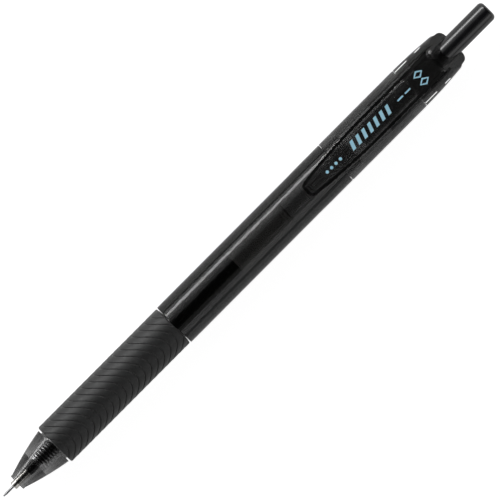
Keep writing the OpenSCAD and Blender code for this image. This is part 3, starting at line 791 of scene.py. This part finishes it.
print_mesh = bmesh.new()
for i in range(4):
    ring_shape(print_mesh, 96.6 + 1.3 * i, -0.15, 0.36, 0.36, 0.352)
for i in range(7):
    bar_shape(print_mesh, 104.4 + 1.75 * i, 0.05, 0.85, 2.0, slant=0.7)
for i in range(2):
    bar_shape(print_mesh, 118.4 + 2.2 * i, -0.1, 1.6, 0.34)
for y in (0.86, -1.14):
    ring_shape(print_mesh, 124.6, y, 1.3, 0.9, 0.42, corners=4)
film_faces = bmesh.ops.extrude_face_region(print_mesh, geom=print_mesh.faces[:])["geom"]
bmesh.ops.translate(print_mesh, verts=[g for g in film_faces if isinstance(g, bmesh.types.BMVert)],
                    vec=(0, 0, film))
for vert in print_mesh.verts:
    vert.co.z += arch(vert.co.x) - film / 4
bmesh.ops.recalc_face_normals(print_mesh, faces=print_mesh.faces)
clip_print = set_down("clip_print", print_mesh, print_blue)
fit(clip_print, "clip", "clip_plastic")

# %% [markdown]
# The button is a gloss black cap with a rounded end, pressed over the plunger's stem.

# %% Button
button_x, button_end = ends("push_button")
button_r = radius_of("push_button")
button_round, stem_r, stem_end = 0.95, 1.62, 138.02
button_outline = [
    (stem_end, 0), (stem_end, stem_r), (button_x, stem_r, 0.06), (button_x, button_r, 0.1),
    *[(button_end - button_round * (1 - math.sin(math.radians(a))),
       button_r - button_round * (1 - math.cos(math.radians(a)))) for a in range(0, 91, 9)],
    (button_end, 0)]
turned_piece("button_cap", button_outline, button_black, "button", "button_plastic", "push_button",
             steps=128)

# %% [markdown]
# The refill is a clear tube of ink. Behind the ink lies a plug of clear grease that follows it
# down, with a curved end where it meets the air, and a vented plug closes the tube.

# %% Refill tube, ink, follower and end plug
tube_x, tube_end = ends("refill_tube")
tube_r, tube_wall = radius_of("refill_tube"), 0.32
tube_bore = tube_r - tube_wall
turned_piece("ink_tube", [(tube_x, tube_bore), (tube_x, tube_r, 0.06), (tube_end, tube_r, 0.06),
                          (tube_end, tube_bore)],
             tube_plastic, "refill", "refill_plastic", "refill_tube")

ink_x, ink_end = ends("ink_column")
ink_r, fine_ink_r, wide_ink_x = radius_of("ink_column"), 0.98, 32.02
turned_piece("gel_ink", [(ink_x, 0), (ink_x, fine_ink_r), (wide_ink_x, fine_ink_r),
                         (wide_ink_x, ink_r, 0.05), (ink_end, ink_r, 0.3), (ink_end, 0)],
             ink_black, "refill", "ink", "ink_column")

follower_x, follower_end = ends("ink_follower")
MENISCUS = 0.35
follower_outline = [(follower_x, 0), (follower_x, ink_r), (follower_end, ink_r)]
follower_outline += [(follower_end - MENISCUS * math.sqrt(1 - (s / 8) ** 2), ink_r * s / 8)
                     for s in range(7, -1, -1)]
turned_piece("grease_follower", follower_outline, follower_grease, "refill", "follower",
             "ink_follower")

plug_x, plug_end = ends("refill_end_plug")
turned_piece("vented_plug", [(plug_x, 0.4), (plug_x, ink_r, 0.1), (tube_end + 0.02, ink_r),
                             (tube_end + 0.02, tube_r), (plug_end, tube_r, 0.12),
                             (plug_end, 0.4, 0.08)],
             plug_grey, "refill", "mechanism_plastic", "refill_end_plug")

# %% [markdown]
# The refill's front end is a black plastic nose that plugs the tube and seats the spring. It
# carries the turned metal holder, which carries the needle.

# %% Refill nose, holder and needle
refill_nose_x, refill_nose_end = ends("refill_nose")
turned_piece("refill_front", [
    (refill_nose_x, 0.77), (refill_nose_x, 1.05, 0.06), (11.1, 1.05), (11.5, 1.7),
    (21.75, 1.7), (21.75, 2.45, 0.08), (25.0, 2.45), (25.6, 3.02), (26.48, 3.02), (26.48, 2.68),
    (refill_nose_end, 2.68, 0.1), (refill_nose_end, 1.0), (11.6, 1.0), (11.6, 0.77)],
    refill_black, "refill", "nose_plastic", "refill_nose")

holder_x, holder_end = ends("needle_holder")
holder_r = radius_of("needle_holder")
turned_piece("tip_holder", [
    (holder_x, 0.3), (holder_x, holder_r - 0.2, 0.04), (holder_x + 0.15, holder_r, 0.04),
    (refill_nose_x - 0.02, holder_r, 0.04), (refill_nose_x - 0.02, 0.75), (holder_end, 0.75),
    (holder_end, 0.5), (5.9, 0.5), (5.9, 0.3)],
    holder_metal, "refill", "tip_steel", "needle_holder")

needle_x, needle_end = ends("needle_tube")
needle_r = radius_of("needle_tube")
turned_piece("needle", [
    (needle_x, 0.16), (needle_x, 0.18), (needle_x + 0.8, needle_r), (needle_end, needle_r),
    (needle_end, 0.19), (0.7, 0.19), (0.6, 0.11), (0.4, 0.11), (0.33, 0.16)],
    needle_metal, "refill", "tip_steel", "needle_tube", steps=64)

# %% [markdown]
# The return spring is drawn wire with closed turns at both ends. Its round section is spun while
# it moves along the pen, three times with three pitches. The coil stays where it is set down and
# rides no body.

# %% Return spring
spring_x, spring_end = ends("return_spring")
wire_r = 0.16
coil_r = radius_of("return_spring") - wire_r
closed_turns, closed_pitch, open_turns, TURN_STEPS = 2.5, 0.36, 14, 32
open_pitch = (spring_end - spring_x - 2 * wire_r - 2 * closed_turns * closed_pitch) / open_turns
coil = bmesh.new()
ring = bmesh.ops.create_circle(coil, segments=10, radius=wire_r,
                               matrix=Matrix.Rotation(math.pi / 2, 4, "X"))["verts"]
bmesh.ops.translate(coil, verts=ring, vec=(spring_x + wire_r, 0, coil_r))
geometry = ring + coil.edges[:]
closed_end, open_middle = (closed_turns, closed_pitch), (open_turns, open_pitch)
for turns, pitch in (closed_end, open_middle, closed_end):
    geometry = bmesh.ops.spin(coil, geom=geometry, cent=(0, 0, 0), axis=(1, 0, 0),
                              dvec=(pitch / TURN_STEPS, 0, 0), angle=math.tau * turns,
                              steps=round(TURN_STEPS * turns))["geom_last"]
bmesh.ops.holes_fill(coil, edges=[e for e in coil.edges if e.is_boundary], sides=0)
bmesh.ops.recalc_face_normals(coil, faces=coil.faces)
spring_coil = set_down("spring_coil", coil, spring_metal)
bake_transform(spring_coil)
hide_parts("return_spring")
print(f"spring_coil: {len(spring_coil.data.polygons)} faces, open pitch {open_pitch:.2f} mm")

# %% [markdown]
# The cam, its guide sleeve and the plunger sit deep in the smoky tail, where only their shapes
# show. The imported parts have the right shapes, so they stay and only get their finishes, and so
# do the writing ball and the hair-thin spring behind it.

# %% Finishes for the parts that stay
for node, finish in (("cam_sleeve", mechanism_black), ("cam_rotor", cam_grey),
                     ("button_plunger", mechanism_black), ("writing_ball", ball_metal),
                     ("ball_spring", spring_metal)):
    for material_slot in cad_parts[node].material_slots:
        material_slot.material = finish
    print(f"{node}: {finish.name}")

# %% [markdown]
# The CAD model's box is printed, in mm. The visual model has to stay inside the CAD
# model's box.

# %% The CAD model's box
print("CAD box ", [round(v / MM, 2) for v in (*cad_low, *cad_high)])
